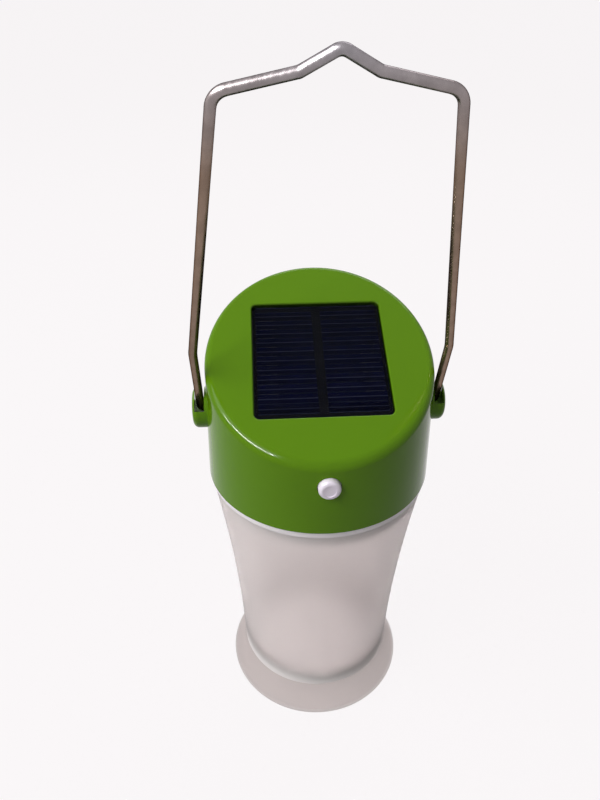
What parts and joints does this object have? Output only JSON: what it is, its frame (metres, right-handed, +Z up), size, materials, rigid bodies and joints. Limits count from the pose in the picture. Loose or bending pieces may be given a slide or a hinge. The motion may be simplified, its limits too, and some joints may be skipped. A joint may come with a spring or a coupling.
{
  "type": "solar lantern",
  "caption": "Hand lantern with a round green cap that slopes to the front and carries a solar panel, a frosted bowed diffuser on a flared foot, a push button and a swinging wire bail.",
  "frame": {"origin": "on the table in the middle of the foot", "axes": "+Z up along the body's axis, +X to the right across the bail's pivots, -Y to the front where the push button is"},
  "size_m": [0.1096, 0.1018, 0.3066],
  "materials": {
    "cap_shell": "glossy moulded green",
    "panel_tape": "white foam tape",
    "panel_board": "matt black circuit board",
    "solar_cells": "dark blue silicon",
    "solder_pads": "solder",
    "panel_resin": "clear glossy resin",
    "push_button": "white, satin",
    "switch_plunger": "grey nylon",
    "switch_body": "black",
    "switch_board": "green circuit board",
    "switch_screws": "zinc plated",
    "wire_bail": "polished stainless wire",
    "bail_retainers": "spring steel",
    "base_tray": "white",
    "tray_screws": "zinc plated",
    "neck_seal": "black",
    "led_board": "white coated aluminium",
    "led_lamps": "ivory lamp bases",
    "led_lenses": "yellow phosphor lens",
    "led_screws": "zinc plated",
    "main_board": "green circuit board",
    "driver_chip": "black",
    "power_coil": "copper coil with dark ends",
    "capacitors": "dark blue sleeve",
    "lead_socket": "ivory",
    "board_screws": "zinc plated",
    "battery_cell": "blue sleeve",
    "battery_tabs": "nickel strip",
    "battery_cradle": "black",
    "cradle_screws": "zinc plated",
    "panel_leads": "red insulation",
    "switch_leads": "yellow insulation",
    "battery_leads": "red insulation",
    "led_leads": "yellow insulation",
    "diffuser": "frosted, translucent",
    "foot": "frosted, translucent"
  },
  "bodies": {
    "lantern": {"cap_shell": "cap_shell", "panel_tape": "panel_tape", "panel_board": "panel_board", "solar_cells": "solar_cells", "solder_pads": "solder_pads", "panel_resin": "panel_resin", "switch_body": "switch_body", "switch_board": "switch_board", "switch_screws": "switch_screws", "base_tray": "base_tray", "tray_screws": "tray_screws", "neck_seal": "neck_seal", "led_board": "led_board", "led_lamps": "led_lamps", "led_lenses": "led_lenses", "led_screws": "led_screws", "main_board": "main_board", "driver_chip": "driver_chip", "power_coil": "power_coil", "capacitors": "capacitors", "lead_socket": "lead_socket", "board_screws": "board_screws", "battery_cell": "battery_cell", "battery_tabs": "battery_tabs", "battery_cradle": "battery_cradle", "cradle_screws": "cradle_screws", "panel_leads": "panel_leads", "switch_leads": "switch_leads", "battery_leads": "battery_leads", "led_leads": "led_leads", "diffuser": "diffuser", "foot": "foot"},
    "bail": {"wire_bail": "wire_bail", "bail_retainers": "bail_retainers"},
    "button": {"push_button": "push_button", "switch_plunger": "switch_plunger"}
  },
  "joints": [
    {"name": "bail_swing", "type": "hinge", "parent": "lantern", "child": "bail", "pos_m": [0, 0, 0.1625], "axis": [1, 0, 0], "range_deg": [-106, 39]},
    {"name": "button_press", "type": "slide", "parent": "lantern", "child": "button", "axis": [0, 1, 0], "range_m": [0, 0.001], "stiffness_N_per_m": 1500, "springref_m": -0.0006}
  ]
}
